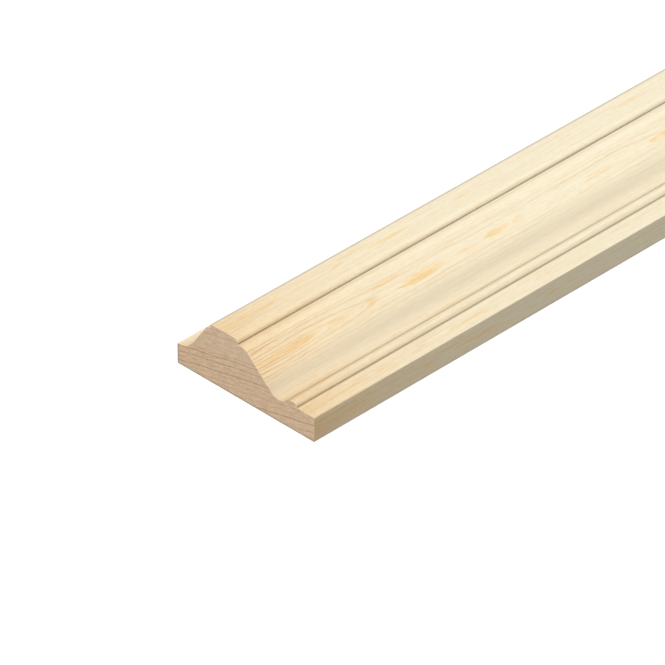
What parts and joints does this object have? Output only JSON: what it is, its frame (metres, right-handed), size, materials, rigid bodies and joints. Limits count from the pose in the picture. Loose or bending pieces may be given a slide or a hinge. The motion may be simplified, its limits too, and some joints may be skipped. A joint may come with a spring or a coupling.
{
  "type": "cover moulding",
  "caption": "Planed softwood cover moulding: a flat-backed strip with a stepped crown, a long slope into a cove, a bead and a flat, cut square at its ends.",
  "frame": {"origin": "middle of the flat back face, half way along the length and half way across the width", "axes": "+X along the length and the grain, -Y towards the thick front edge, +Y towards the thin back edge, +Z out of the moulded face"},
  "size_m": [2.4, 0.033, 0.012],
  "materials": {
    "pine": "planed, unfinished, matt"
  },
  "bodies": {
    "root": {"cover_moulding": "pine"}
  },
  "joints": []
}
